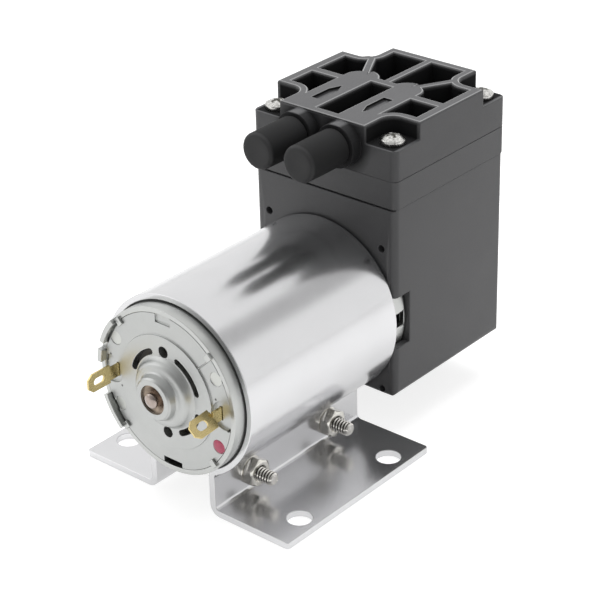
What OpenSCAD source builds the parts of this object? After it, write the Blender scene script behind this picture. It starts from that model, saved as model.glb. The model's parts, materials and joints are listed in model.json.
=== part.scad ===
/* [Bracket] */
// Thickness of the bracket's sheet
sheet = 1.5; // [1.2:0.1:1.8]
// Length of the band and of both feet along the motor
band_l = 45; // [42:0.5:48]
// Height of the legs' straight part between their bends
leg_h = 6.5; // [5.8:0.1:9]
// Clear width between the two legs
leg_gap = 14.5; // [13:0.5:16]
// Width over both feet
foot_span = 55.4; // [53:0.2:60]
// Inside radius of every bend in the sheet
bend_r = 1; // [0.6:0.1:1.2]
// Radius of the corners of the feet
foot_corner_r = 0.8; // [0.3:0.1:2]
// Diameter of the foot holes
foot_hole_d = 5.2; // [4:0.1:5.6]
// Spacing of the foot holes across the motor
foot_pitch_x = 47.2; // [45:0.2:48]
// Spacing of the foot holes along the motor
foot_pitch_y = 28.4; // [26:0.2:32]
// Spacing of the two clamp bolts along the motor
bolt_pitch = 24; // [20:0.5:26]
// Thread diameter of the clamp bolts
bolt_d = 3; // [2.5:0.1:3]
// Length that a clamp bolt stands out past the leg on its nut side
bolt_tail = 6.6; // [5:0.1:9]

/* [Motor] */
// Outside diameter of the motor can
can_d = 35.8; // [35:0.1:36]
// Length of the can from the end bell's flat to the front face
can_l = 53.3; // [50:0.1:56]
// Wall of the can
can_wall = 1.1; // [0.9:0.1:1.3]
// Height of the rim tabs past the end bell's flat
rim_tab = 1.2; // [0.6:0.1:1.6]
// Side of the square cooling windows near the can's front
window = 3.1; // [2:0.1:3.6]
// Diameter of the bearing boss on the can's front
boss_d = 13; // [12.5:0.1:13.5]
// Length of the bearing boss on the can's front
boss_l = 2.8; // [2:0.1:2.9]
// Diameter of the motor shaft
shaft_d = 3.175; // [3:0.005:3.3]
// Spacing of the two tapped holes in the can's front
mount_pitch = 25; // [24:0.1:25.4]
// Wall of the end bell
bell_t = 1.2; // [1:0.1:1.4]
// Height of the bearing nose above the end bell's flat
nose_h = 4.1; // [3.6:0.1:5]
// Radius of the end bell's raised field
field_r = 12.2; // [11.6:0.1:12.6]
// Width of a rotor tooth
tooth_w = 3; // [2.6:0.1:3.2]
// Thickness of the magnets
magnet_t = 4.1; // [3.8:0.1:4.4]
// Length of the magnets
magnet_l = 32; // [28:0.5:33]
// Gap between the rotor and the magnets
air_gap = 0.5; // [0.4:0.05:0.7]
// Diameter of the commutator
comm_d = 9; // [8.4:0.1:9.6]
// Length of the brass terminals past the end bell's flat
terminal_l = 7.9; // [7:0.1:10]
// Width of the brass terminals
terminal_w = 4; // [3.6:0.1:4.4]

/* [Head] */
// Thickness of the head's sides where they pass the motor
side_wall = 0.85; // [0.8:0.05:1.6]
// Depth of the head along the motor axis
head_d = 37.5; // [37:0.1:39]
// Height of the head
head_h = 60; // [59.5:0.1:62]
// Height of the head's underside above the undersides of the feet
head_lift = 9.4; // [9:0.1:9.8]
// Gap between the band's end and the head
head_gap = 0.5; // [0.3:0.1:1]
// Radius of the head's upright corners
corner_r = 1.5; // [0.8:0.1:2]
// Radius of the crankcase's lower edges
lower_edge_r = 2; // [1:0.1:2.4]
// Set-back of the crankcase's sides from the block above it
case_inset = 0.15; // [0.1:0.05:0.3]
// Wall of the crankcase
case_wall = 2.4; // [2:0.1:2.8]
// Depth of the motor's seat in the crankcase's front
seat_depth = 4.9; // [4.5:0.1:5.2]
// Wall between the motor's seat and the crank chamber
mount_wall = 3; // [2.9:0.1:3.4]
// Height of the openings that the motor's seat leaves in the side walls
side_gap_h = 11.7; // [10:0.1:13]
// Diameter of the pilot holes in the crankcase's front
pilot_d = 1.6; // [1.2:0.1:1.8]
// Spacing of the pilot holes across the head
pilot_pitch_x = 30; // [29.6:0.1:30.8]
// Spacing of the pilot holes upwards
pilot_pitch_z = 32.8; // [32:0.1:32.9]
// Height of the valve block
block_h = 6.1; // [6:0.1:6.8]
// Height of the head cover
cover_h = 10.5; // [10:0.1:11.5]
// Depth of the screw seats below the cover's top
seat_drop = 3.9; // [3.4:0.1:4.4]
// Size of the corner notches across the head
notch_x = 7.6; // [7.2:0.1:8]
// Size of the corner notches along the head
notch_y = 8; // [7.6:0.1:8.6]
// Radius of the inner corner of the notches
notch_r = 3; // [2:0.1:3.4]
// Thickness of the cover's outer rim
rim_t = 2.5; // [2.3:0.1:2.7]
// Thickness of the cover's ribs
rib_t = 2; // [1.8:0.1:2.2]
// Depth of the cells between the ribs
cell_depth = 7.7; // [5:0.1:7.7]
// Width of the raised flow channels
channel_w = 7.2; // [7:0.1:7.4]
// Distance between the centre lines of the flow channels
channel_pitch = 12.5; // [12.4:0.1:12.8]
// Distance from the head's centre to the head screws across the head
screw_x = 15.1; // [14.9:0.1:15.3]
// Distance from the head's centre to the head screws along the head
screw_y = 14.95; // [14.8:0.05:15.3]
// Thread diameter of the head screws
screw_d = 2.6; // [2.4:0.1:2.8]
// Head diameter of the head screws
screw_head_d = 5.2; // [4.8:0.1:5.6]

/* [Ports] */
// Distance between the two ports
port_pitch = 10.7; // [10.5:0.1:11.2]
// Depth of the port axes below the cover's top
port_drop = 5.1; // [5.1:0.1:5.4]
// Bore of the ports
port_bore = 3.2; // [2.6:0.1:3.6]
// Diameter of the spigots between their barbs
spigot_d = 5.2; // [4.8:0.1:5.4]
// Diameter over the barbs
barb_d = 6.2; // [5.8:0.1:6.4]
// Length of the spigots past their root bosses
spigot_l = 9.5; // [8:0.1:10]
// Diameter of the root bosses
root_d = 9.4; // [9.2:0.1:10]
// Length of the root bosses
root_l = 2.5; // [2:0.1:3]
// Outside diameter of the dust caps
cap_d = 8; // [7.8:0.1:8.6]
// Thickness of the dust caps' ends
cap_end = 1.9; // [1.2:0.1:2.2]

/* [Crank] */
// Offset of the crank journal from the shaft
throw = 1.6; // [1.2:0.05:1.6]
// Bore of the crank bearing
bearing_id = 8; // [8:0.1:8.2]
// Outside diameter of the crank bearing
bearing_od = 16; // [15.8:0.1:16.4]
// Width of the crank bearing
bearing_w = 5; // [4:0.1:5.4]
// Radius of the counterweight
weight_r = 11; // [9:0.1:12]
// Wall of the connecting rod's ring
ring_wall = 2.25; // [1.8:0.05:2.4]
// Diameter of the discs that grip the diaphragm
disc_d = 15; // [14:0.1:15.4]
// Diameter of the bore under the diaphragm
deck_bore = 24; // [23.6:0.1:24.6]
// Outside diameter of the diaphragm
diaphragm_d = 32; // [31:0.1:32.4]
// Thickness of the diaphragm between the discs
diaphragm_t = 1.2; // [1:0.1:1.3]
// Diameter of the umbrella valves
valve_d = 6.4; // [5.8:0.1:6.6]

/* [Fits] */
// Radial clearance of the shaft and the rod in their bearings
run_fit = 0.02; // [0.01:0.01:0.05]
// Radial clearance of the dust caps on the barbs
cap_fit = 0.05; // [0.02:0.01:0.1]
// Radial clearance of pieces that are assembled by hand
seat_fit = 0.05; // [0.02:0.01:0.1]
// Clearance between pieces that pass each other
gap = 0.3; // [0.25:0.05:0.4]

/* [Hidden] */
$fn = 72;
eps = 0.01;
sides = [-1, 1];

// Bracket
can_r = can_d / 2;
band_ri = can_r + seat_fit;
band_ro = band_ri + sheet;
leg_xi = leg_gap / 2;
leg_xo = leg_xi + sheet;
bend_x = leg_xo + bend_r;
bend_lo_z = sheet + bend_r;
band_cut = asin(bend_x / (band_ro + bend_r));
axis_h = bend_lo_z + leg_h + (band_ro + bend_r) * cos(band_cut);
bend_up_z = bend_lo_z + leg_h;
bolt_h = bend_lo_z + leg_h / 2 + 0.2;
bolt_head_h = 2;
washer_r = leg_h / 2 - 0.25;
washer_t = 0.5;
nut_h = 2.4;
hex_r = 5.5 / sqrt(3);

// Motor, along Y
head_w = can_d + 2 * side_wall;
head_y0 = band_l / 2 + head_gap;
head_y1 = head_y0 + head_d;
head_yc = head_y0 + head_d / 2;
can_y1 = head_y0 + seat_depth;
can_y0 = can_y1 - can_l;
can_ri = can_r - can_wall;
can_edge_r = 1.1;
bell_r = can_ri - seat_fit;
bell_step = 0.35;
nose_r = 4.9;
nose_hole_r = 3.1;
shaft_out = 1;
hub_r = 7.3;
hub_h = 2;
mark_r = 1.5;
mark_x = 13.3;
mark_z = 7.5;
mark_depth = 0.2;
crease_a = 43;
crease_w = 0.3;
tab_gap = 0.25;
bell_notch_x = 0.55;
bell_notch_w = 4.9;
bell_notch_h = 1.4;
liner_t = 0.3;
liner_l = 1.5;
liner_back = 0.15;
liner_end = 5;
shaft_r = shaft_d / 2;
bush_r = 3.4;
front_bush_r = 4;
front_bush_y0 = can_y1 - can_wall - 1.3;
front_bush_y1 = can_y1 + boss_l - 0.7;
rear_bush_y1 = can_y0 + bell_t;
rear_bush_y0 = can_y0 - nose_h + 0.6;
magnet_ri = can_ri - seat_fit - magnet_t;
magnet_arc = 130;
core_r = magnet_ri - air_gap;
core_y1 = can_y1 - 7.9;
core_y0 = can_y0 + 19.4;
magnet_y0 = (core_y0 + core_y1 - magnet_l) / 2;
poles = 5;
coil_t = 2;
coil_r0 = 5.1;
coil_in = tooth_w / 2 + 0.05;
shoe_t = 2.6;
shoe_in_r = core_r - shoe_t;
coil_h = sqrt(pow(shoe_in_r - 0.1, 2) - pow(coil_in + coil_t, 2)) - coil_r0;
comm_r = comm_d / 2;
comm_l = 9.5;
comm_y1 = core_y0 - coil_t - tooth_w / 2 - 2;
comm_y0 = comm_y1 - comm_l;
brush_w = 3;
brush_h = 3.5;
brush_x1 = comm_r + 6;
brush_y = comm_y0 + brush_w;
sleeve_r = 2.6;
terminal_x = 13.8;
terminal_t = 0.5;
stem_w = terminal_w - 1.2;
motor_screw_r = 1.5;
motor_screw_head_r = 2.75;
motor_screw_head_h = 2;

// Head, along Z
case_z0 = head_lift;
cover_z1 = head_lift + head_h;
cover_z0 = cover_z1 - cover_h;
block_z0 = cover_z0 - block_h;
seat_z = cover_z1 - seat_drop;
cell_z = cover_z1 - cell_depth;
port_z = cover_z1 - port_drop;
case_x = head_w / 2 - case_inset;
case_y0 = head_y0;
case_y1 = head_y1 - case_inset;
chamber_x = case_x - case_wall;
chamber_y0 = can_y1 + mount_wall;
chamber_y1 = case_y1 - case_wall;
chamber_z0 = case_z0 + case_wall;
deck_t = 7.8;
chamber_z1 = block_z0 - deck_t;
motor_seat_r = can_r + 2 * seat_fit;
screw_hole_r = screw_d / 2 + 0.2;
screw_l = 20;
screw_boss_r = 3.2;

// Rear cover of the crankcase
rear_open_x = 10.8;
rear_open_z0 = chamber_z0 + 2;
rear_open_z1 = chamber_z1 + 1;
rear_lap = 3.2;
rear_plate_t = 1.6;
rear_plate_y = case_y1 - rear_plate_t;
rear_screw_r = 1;
rear_boss_r = 1.8;
rear_screw_head_r = 1.8;
rear_screw_l = 7;
rear_screw_x = rear_open_x + rear_lap / 2;
rear_screw_zs = [rear_open_z0 + 1.4, rear_open_z1 - 1.4];

// Crank and diaphragm, at top dead centre
crank_z = axis_h + throw;
journal_r = bearing_id / 2;
race_t = 1.3;
ball_r = 1.1;
ball_n = 9;
ball_pitch_r = (bearing_id + bearing_od) / 4;
hub_y0 = chamber_y0 + motor_screw_head_h + gap;
shoulder_t = 0.5;
bearing_y0 = head_yc - bearing_w / 2;
bearing_y1 = head_yc + bearing_w / 2;
hub_y1 = bearing_y0 - shoulder_t;
ecc_hub_r = 6;
weight_t = 4.5;
ring_r = bearing_od / 2 + ring_wall;
disc_r = disc_d / 2;
rim_half = 0.8;
diaphragm_z0 = block_z0 + throw - diaphragm_t / 2;
diaphragm_z1 = diaphragm_z0 + diaphragm_t;
flange_t = 1.6;
clamp_disc_t = 1.4;
chamber_top = diaphragm_z1 + clamp_disc_t + gap;
chamber_top_r = disc_r + throw + gap;
deck_bore_r = deck_bore / 2;
rim_r = diaphragm_d / 2;
disc_screw_r = 1.5;
disc_screw_l = 8.6;

// Valves and seal
valve_x = chamber_top_r - valve_d / 2 - gap - 0.2;
valve_r = valve_d / 2;
valve_t = 0.6;
valve_pocket_r = valve_r + gap;
valve_pocket_h = 0.9;
valve_seat_z = chamber_top + valve_pocket_h;
stem_r = 1;
bulb_r = 1.35;
bulb_h = 0.7;
channel_x = channel_pitch / 2;
channel_wall = 1.2;
seal_w = 1;
seal_h = 0.9;
seal_ri = 4.1;
seal_x = 5.9;

// Small helpers: bars along one axis and boxes between two corners
module bar_x(r, x0, x1, y, z) translate([x0, y, z]) rotate([0, 90, 0]) cylinder(r = r, h = x1 - x0);
module bar_y(r, y0, y1, x, z) translate([x, y0, z]) rotate([-90, 0, 0]) cylinder(r = r, h = y1 - y0);
module bar_z(r, z0, z1, x, y) translate([x, y, z0]) cylinder(r = r, h = z1 - z0);
module block(x, y, z) translate([x[0], y[0], z[0]]) cube([x[1] - x[0], y[1] - y[0], z[1] - z[0]]);

// A ring along Y about the motor axis
module ring_y(r1, r0, y0, y1) difference() {
  bar_y(r1, y0, y1, 0, axis_h);
  bar_y(r0, y0 - eps, y1 + eps, 0, axis_h);
}

// A turned piece about the motor axis: its profile's x is the radius, its y the place along Y
module turned(y) translate([0, y, axis_h]) rotate([-90, 0, 0]) rotate_extrude() children();

// A sector of a ring in the drawing plane, from angle a0 to angle a1, under half a turn
module arc_strip(r1, r0, a0, a1) intersection() {
  difference() {
    circle(r = r1);
    circle(r = r0);
  }
  polygon([[0, 0], [3 * r1 * cos(a0), 3 * r1 * sin(a0)],
    [3 * r1 * cos((a0 + a1) / 2), 3 * r1 * sin((a0 + a1) / 2)], [3 * r1 * cos(a1), 3 * r1 * sin(a1)]]);
}

// What the legs' side takes out of a ring round the motor: a wedge below the axis, a degrees to each side
module leg_wedge(a) translate([0, axis_h])
  polygon([[0, 0], [2 * band_ro * tan(a), -2 * band_ro], [-2 * band_ro * tan(a), -2 * band_ro]]);

// The bracket's section: band, two bends a side, legs and feet, all one sheet thick.
// The upper bends are thinner by a hair, so that their ends lie wholly inside the band.
bury = 0.02;
module bracket_section() {
  difference() {
    translate([0, axis_h]) difference() {
      circle(r = band_ro);
      circle(r = band_ri);
    }
    leg_wedge(band_cut);
  }
  for (s = sides) scale([s, 1]) {
    translate([bend_x, bend_up_z]) arc_strip(bend_r + sheet - bury, bend_r + bury, 87 + band_cut, 180);
    translate([leg_xi, bend_lo_z]) square([sheet, bend_up_z - bend_lo_z]);
    translate([bend_x, bend_lo_z]) arc_strip(bend_r + sheet, bend_r, 180, 270);
    translate([bend_x, 0]) square([foot_span / 2 - bend_x, sheet]);
  }
}

module clamp_bracket() color("silver") difference() {
  translate([0, band_l / 2, 0]) rotate([90, 0, 0]) linear_extrude(band_l) bracket_section();
  for (sx = sides, sy = sides) {
    bar_z(foot_hole_d / 2, -1, sheet + 1, sx * foot_pitch_x / 2, sy * foot_pitch_y / 2);
    foot_corner(sx, sy);
  }
  for (sy = sides) bar_x(bolt_d / 2 + seat_fit, -leg_xo - 1, leg_xo + 1, sy * bolt_pitch / 2, bolt_h);
  translate([0, liner_l - band_l / 2, 0]) rotate([90, 0, 0]) linear_extrude(liner_l + 1) difference() {
    translate([0, axis_h]) circle(r = band_ri + liner_t);
    leg_wedge(band_cut + liner_end);
  }
}

// A thin dark strip between the can and the band's rear end, set back a little from the end
module band_liner() color([0.1, 0.1, 0.1])
  translate([0, liner_l - band_l / 2 - run_fit, 0]) rotate([90, 0, 0])
  linear_extrude(liner_l - liner_back) difference() {
    translate([0, axis_h]) difference() {
      circle(r = band_ri + liner_t - run_fit);
      circle(r = can_r + run_fit);
    }
    leg_wedge(band_cut + liner_end + 0.5);
  }

// What a foot's rounded corner leaves off
module foot_corner(sx, sy) translate([sx * foot_span / 2, sy * band_l / 2, 0]) difference() {
  translate([-foot_corner_r, -foot_corner_r, -1]) cube([2 * foot_corner_r, 2 * foot_corner_r, sheet + 2]);
  translate([-sx * foot_corner_r, -sy * foot_corner_r, -2]) cylinder(r = foot_corner_r, h = sheet + 4);
}

module clamp_bolts() color("lightgray") for (sy = sides) {
  bar_x(bolt_d / 2, -leg_xo, leg_xo + bolt_tail, sy * bolt_pitch / 2, bolt_h);
  translate([-leg_xo - bolt_head_h, sy * bolt_pitch / 2, bolt_h]) rotate([0, 90, 0])
    cylinder(r = hex_r, h = bolt_head_h, $fn = 6);
}

module clamp_washers() color("lightgray") for (sy = sides) difference() {
  bar_x(washer_r, leg_xo, leg_xo + washer_t, sy * bolt_pitch / 2, bolt_h);
  bar_x(bolt_d / 2 + seat_fit, leg_xo - 1, leg_xo + 1, sy * bolt_pitch / 2, bolt_h);
}

module clamp_nuts() color("lightgray") for (sy = sides)
  translate([leg_xo + washer_t, sy * bolt_pitch / 2, bolt_h]) rotate([0, 90, 0]) difference() {
    intersection() {
      cylinder(r = hex_r, h = nut_h, $fn = 6);
      translate([0, 0, -0.9]) cylinder(r1 = hex_r - 1.1, r2 = hex_r + 2.2, h = nut_h + 0.9);
      cylinder(r1 = hex_r + 2.2, r2 = hex_r - 0.2, h = nut_h);
    }
    translate([0, 0, -1]) cylinder(r = bolt_d / 2 + seat_fit, h = nut_h + 2);
  }

// The can: a drawn cup with a bearing boss in front, windows at its sides and tabs on its rim
module can_profile() difference() {
  union() {
    square([can_r, can_l - can_edge_r]);
    square([can_r - can_edge_r, can_l]);
    translate([can_r - can_edge_r, can_l - can_edge_r]) circle(r = can_edge_r);
    square([boss_d / 2 - 0.4, can_l + boss_l]);
    translate([0, can_l]) square([boss_d / 2, boss_l - 0.4]);
  }
  translate([-1, -1]) square([can_ri + 1, can_l - can_wall + 1]);
  translate([-1, 0]) square([front_bush_r + 1, front_bush_y1 - can_y0]);
  translate([-1, 0]) square([shaft_r + 0.6 + 1, can_l + boss_l + 1]);
}

// Angles of the tabs on the rim's left half about the axis, counted from +X towards +Z
rim_tabs = [[138, 160], [166, 176], [200, 225]];
module motor_can() color("gainsboro") {
  difference() {
    turned(can_y0) can_profile();
    for (s = sides) {
      scale([s, 1, 1]) block([0, can_r + 1], [can_y1 - 2.7 - window / 2, can_y1 - 2.7 + window / 2],
        [axis_h - window / 2, axis_h + window / 2]);
      bar_y(motor_screw_r + run_fit, can_y1 - 2 * can_wall, can_y1 + 1, s * mount_pitch / 2, axis_h);
    }
  }
  for (t = rim_tabs) translate([0, can_y0 + eps, axis_h]) rotate([90, 0, 0]) linear_extrude(rim_tab)
     arc_strip(can_r, can_ri, t[0], t[1]);
  for (a = [45:90:315]) translate([0, can_y0, axis_h]) rotate([90, 0, 0]) rotate(a)
    translate([can_ri - 1, -0.7, 0]) cube([can_wall + 0.6, 1.4, 0.5]);
}

module can_magnets() color("dimgray") for (a = [90, 270]) translate([0, magnet_y0, axis_h])
  rotate([-90, 0, 0]) rotate(a - magnet_arc / 2) rotate_extrude(angle = magnet_arc)
    translate([magnet_ri, 0]) square([magnet_t, magnet_l]);

// Sprung strips that hold the magnets apart
module magnet_clips() color("lightslategray") for (a = [0, 180]) translate([0, magnet_y0, axis_h])
  rotate([-90, 0, 0]) rotate(a) difference() {
    rotate(-(88 - magnet_arc / 2)) rotate_extrude(angle = 2 * (88 - magnet_arc / 2))
      translate([can_ri - seat_fit - 0.6, 0]) square([0.6, magnet_l]);
    translate([0, -1.5, magnet_l / 4]) cube([can_r, 3, magnet_l / 2]);
  }

module front_bush() color("peru")
  ring_y(front_bush_r, shaft_r + run_fit, front_bush_y0, front_bush_y1);

// Its outer end is countersunk round the shaft
module rear_bush() color("peru") difference() {
  ring_y(bush_r, shaft_r + run_fit, rear_bush_y0, rear_bush_y1);
  translate([0, rear_bush_y0 - eps, axis_h]) rotate([-90, 0, 0]) cylinder(r1 = 2.6, r2 = shaft_r, h = 0.7);
}

// The end bell's half section: y counts outwards from its flat
module bell_profile() difference() {
  union() {
    translate([0, -bell_t]) square([bell_r, bell_t]);
    translate([bell_r - bell_t, -bell_t - 4]) square([bell_t, 4 + eps]);
    square([field_r, bell_step]);
    polygon([[0, 0], [hub_r + 0.5, 0], [hub_r + 0.5, bell_step], [hub_r, bell_step + 0.35],
      [hub_r - 0.5, hub_h - 0.3], [hub_r - 0.9, hub_h], [nose_r + 0.3, hub_h + 0.2], [nose_r, hub_h + 0.5],
      [nose_r - 0.3, nose_h - 0.4], [nose_r - 0.7, nose_h], [0, nose_h]]);
  }
  translate([-1, -bell_t - 1]) square([bush_r + 1, nose_h + bell_t + 0.4]);
  translate([-1, 0]) square([nose_hole_r + 1, nose_h + 1]);
}

// A slot along an arc of the bell's face, from angle a0 to angle a1, with round ends
slot_r = 8.7;
pocket_r = 3.05;
slot_w = 1.3;
module bell_slot(a0, a1) {
  linear_extrude(4 * bell_t, center = true) arc_strip(slot_r + slot_w / 2, slot_r - slot_w / 2, a0, a1);
  for (a = [a0, a1]) rotate(a) translate([slot_r, 0, 0])
    cylinder(r = slot_w / 2 - bury, h = 4 * bell_t, center = true);
}

module end_bell() color("gainsboro") translate([0, can_y0, axis_h]) rotate([90, 0, 0]) difference() {
  union() {
    rotate_extrude() bell_profile();
    rotate(crease_a) translate([field_r - crease_w, -crease_w / 2, -0.1]) cube([3.8, crease_w, 0.3]);
  }
  for (a = [[114, 160], [17, 66], [295, 343]]) bell_slot(a[0], a[1]);
  for (s = sides) {
    translate([0, s * (slot_r + 0.25), 0]) cylinder(r = 1.2, h = 4 * bell_t, center = true);
    scale([s, 1, 1]) translate([terminal_x + 1.2, 0, -bell_t / 2]) {
      cylinder(r = pocket_r, h = bell_t);
      translate([0, -pocket_r, 0]) cube([4, 2 * pocket_r, bell_t]);
    }
    translate([s * terminal_x - terminal_t / 2 - 0.1, -stem_w / 2 - 0.1, -bell_t - 1])
      cube([terminal_t + 0.2, stem_w + 0.2, bell_t + 2]);
  }
  for (sx = sides, sy = sides) translate([sx * mark_x, sy * mark_z, -mark_depth]) cylinder(r = mark_r, h = 1);
  for (t = rim_tabs) translate([0, 0, -0.8]) linear_extrude(2)
    arc_strip(can_ri + 1, bell_r - tab_gap, t[0], t[1]);
  translate([bell_notch_x - bell_notch_w / 2, -bell_r - 1, -bell_t - 5])
    cube([bell_notch_w, bell_notch_h + 1, bell_t + 6]);
  translate([-2, bell_r - 1.9, -bell_t / 3]) cube([3.9, 3, bell_t]);
}

// The spot of red paint that marks the positive terminal, in one of the bell's round marks
module polarity_dot() color("crimson")
  translate([mark_x, can_y0 + mark_depth, axis_h - mark_z]) rotate([90, 0, 0])
  cylinder(r = mark_r - 0.1, h = mark_depth + 0.08);

module brush_card() color("saddlebrown") difference() {
  ring_y(bell_r - bell_t - gap, hub_r, rear_bush_y1, rear_bush_y1 + 1.6);
  for (s = sides) block([s * terminal_x - terminal_t, s * terminal_x + terminal_t],
    [rear_bush_y1 - 1, rear_bush_y1 + 3], [axis_h - stem_w / 2 - gap, axis_h + stem_w / 2 + gap]);
}

// Sprung arms that stand on the card and press the brushes to the commutator
module brush_springs() color("goldenrod") for (s = sides) scale([s, 1, 1])
  block([brush_x1, brush_x1 + 0.4], [rear_bush_y1 + 1.6, brush_y + brush_w / 2],
    [axis_h - brush_w / 2, axis_h + brush_w / 2]);

module brushes() color([0.2, 0.2, 0.22]) for (s = sides) scale([s, 1, 1]) difference() {
  block([comm_r, brush_x1], [brush_y - brush_w / 2, brush_y + brush_w / 2],
    [axis_h - brush_h / 2, axis_h + brush_h / 2]);
  bar_y(comm_r + seat_fit, comm_y0 - 1, comm_y1, 0, axis_h);
}

// A solder tag: a narrow stem, then a wider blade with cut corners and a long hole
module tag() {
  half = terminal_w / 2;
  tip = -terminal_l;
  rotate([90, 0, 90]) linear_extrude(terminal_t, center = true) difference() {
    union() {
      translate([tip + 2, -stem_w / 2]) square([terminal_l + bell_t - 0.4, stem_w]);
      polygon([[-1.9, -half], [-1.9, half], [tip + 1.2, half], [tip, half - 1], [tip, 1 - half],
        [tip + 1.2, -half]]);
    }
    for (y = [2.3, 3.5]) translate([tip + y, 0]) circle(r = 0.8);
    translate([tip + 2.3, -0.8]) square([1.2, 1.6]);
  }
}

// One tag stands straight; the blade of the other is turned on its stem
turn_y = 1.7;
module terminals() color("goldenrod") {
  translate([-terminal_x, can_y0, axis_h]) tag();
  translate([terminal_x, can_y0, axis_h]) intersection() {
    tag();
    translate([-5, -turn_y - 0.2, -5]) cube([10, 20, 10]);
  }
  translate([terminal_x, can_y0 - turn_y, axis_h]) rotate([3, -45, 0]) intersection() {
    translate([0, turn_y, 0]) tag();
    translate([-5, -19, -5]) cube([10, 19, 10]);
  }
}

module motor_screws() color("silver") for (s = sides) difference() {
  union() {
    bar_y(motor_screw_r, can_y1 - can_wall - 1.4, chamber_y0 + eps, s * mount_pitch / 2, axis_h);
    bar_y(motor_screw_head_r, chamber_y0, chamber_y0 + motor_screw_head_h, s * mount_pitch / 2, axis_h);
  }
  translate([s * mount_pitch / 2, chamber_y0 + motor_screw_head_h, axis_h]) cross_slot(3, 0.7, 1.2);
}

// The two crossed cuts of a driver recess, centred on the face that they open on
module cross_slot(l, w, d) {
  cube([l, 2 * d, w], center = true);
  cube([w, 2 * d, l], center = true);
}

shaft_y0 = can_y0 - nose_h - shaft_out;
shaft_y1 = bearing_y1 + 0.4;
module motor_shaft() color("rosybrown") turned(shaft_y0) {
  translate([0, 0.9]) square([shaft_r, shaft_y1 - shaft_y0 - 1.3]);
  intersection() {
    translate([0, 1.85]) circle(r = 1.85);
    square([shaft_r, 1.2]);
  }
  square([shaft_r - 0.4, shaft_y1 - shaft_y0 - 1]);
  translate([0, shaft_y1 - shaft_y0 - 1.2]) square([shaft_r - 0.4, 1.2]);
}

module core_section() difference() {
  union() {
    circle(r = coil_r0 - 0.4);
    for (i = [0:poles - 1]) rotate(i * 360 / poles + 90) translate([0, -tooth_w / 2])
      square([core_r - shoe_t / 2, tooth_w]);
    difference() {
      circle(r = core_r);
      circle(r = shoe_in_r);
      for (i = [0:poles - 1]) rotate((i + 0.5) * 360 / poles + 90) translate([0, -0.9])
        square([core_r + 1, 1.8]);
    }
  }
  circle(r = shaft_r);
}

module rotor_core() color("slategray") translate([0, core_y1, axis_h]) rotate([90, 0, 0])
  linear_extrude(core_y1 - core_y0) core_section();

// One coil round a tooth: two straight sides in the slots and a half turn over each end of the core
module coil() {
  for (s = sides) scale([s, 1, 1])
    block([coil_in, coil_in + coil_t], [core_y0, core_y1], [coil_r0, coil_r0 + coil_h]);
  for (e = [[core_y1, 0], [core_y0, 180]]) translate([0, e[0], coil_r0]) rotate(e[1])
    rotate_extrude(angle = 180) translate([coil_in, 0]) square([coil_t, coil_h]);
}

module rotor_windings() color("sienna") for (i = [0:poles - 1])
  translate([0, 0, axis_h]) rotate([0, i * 360 / poles, 0]) coil();

module commutator() color("darkorange") difference() {
  union() {
    ring_y(comm_r, shaft_r, comm_y0, comm_y1);
    ring_y(comm_r + 1.1, shaft_r, comm_y1 - 1, comm_y1);
  }
  for (i = [0:poles - 1]) translate([0, comm_y0, axis_h]) rotate([0, (i + 0.5) * 360 / poles, 0])
    translate([-0.2, -1, comm_r - 1.2]) cube([0.4, comm_l + 2, 4]);
}

// Insulating sleeves that keep the rotor in its place along the shaft
module shaft_sleeves() color("ivory") {
  ring_y(sleeve_r, shaft_r, core_y1, front_bush_y0 - gap);
  ring_y(sleeve_r, shaft_r, comm_y1, core_y0);
  ring_y(sleeve_r, shaft_r, rear_bush_y1 + gap, comm_y0);
}

// Outline of the head's layers, with round upright corners
module head_outline(inset) {
  x = head_w / 2 - inset;
  y0 = head_y0;
  y1 = head_y1 - inset;
  translate([-x + corner_r, y0]) square([2 * x - 2 * corner_r, y1 - y0]);
  translate([-x, y0 + corner_r]) square([2 * x, y1 - y0 - 2 * corner_r]);
  for (sx = sides, y = [y0 + corner_r, y1 - corner_r])
    translate([sx * (x - corner_r), y]) circle(r = corner_r);
}

// What a rounded edge along Y leaves off the lower side corners, and along X off the lower front and rear
module lower_edges() {
  r = lower_edge_r;
  for (s = sides) scale([s, 1, 1]) difference() {
    block([case_x - r, case_x + 1], [case_y0 - 1, case_y1 + 1], [case_z0 - 1, case_z0 + r]);
    bar_y(r, case_y0 - 2, case_y1 + 2, case_x - r, case_z0 + r);
  }
  difference() {
    block([-head_w, head_w], [case_y0 - 1, case_y0 + r / 2], [case_z0 - 1, case_z0 + r / 2]);
    bar_x(r / 2, -head_w - 1, head_w + 1, case_y0 + r / 2, case_z0 + r / 2);
  }
  difference() {
    block([-head_w, head_w], [case_y1 - r / 2, case_y1 + 1], [case_z0 - 1, case_z0 + r / 2]);
    bar_x(r / 2, -head_w - 1, head_w + 1, case_y1 - r / 2, case_z0 + r / 2);
  }
}

// The rounded plate that closes the crank chamber, grown or shrunk by d
module rear_panel(d, y0, y1) {
  x = rear_open_x + rear_lap + d;
  z0 = rear_open_z0 - 0.9 - d;
  z1 = rear_open_z1 + 0.9 + d;
  r = 2 + d;
  block([-x + r, x - r], [y0, y1], [z0, z1]);
  block([-x, x], [y0, y1], [z0 + r, z1 - r]);
  for (sx = sides, z = [z0 + r, z1 - r]) bar_y(r, y0, y1, sx * (x - r), z);
}

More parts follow.
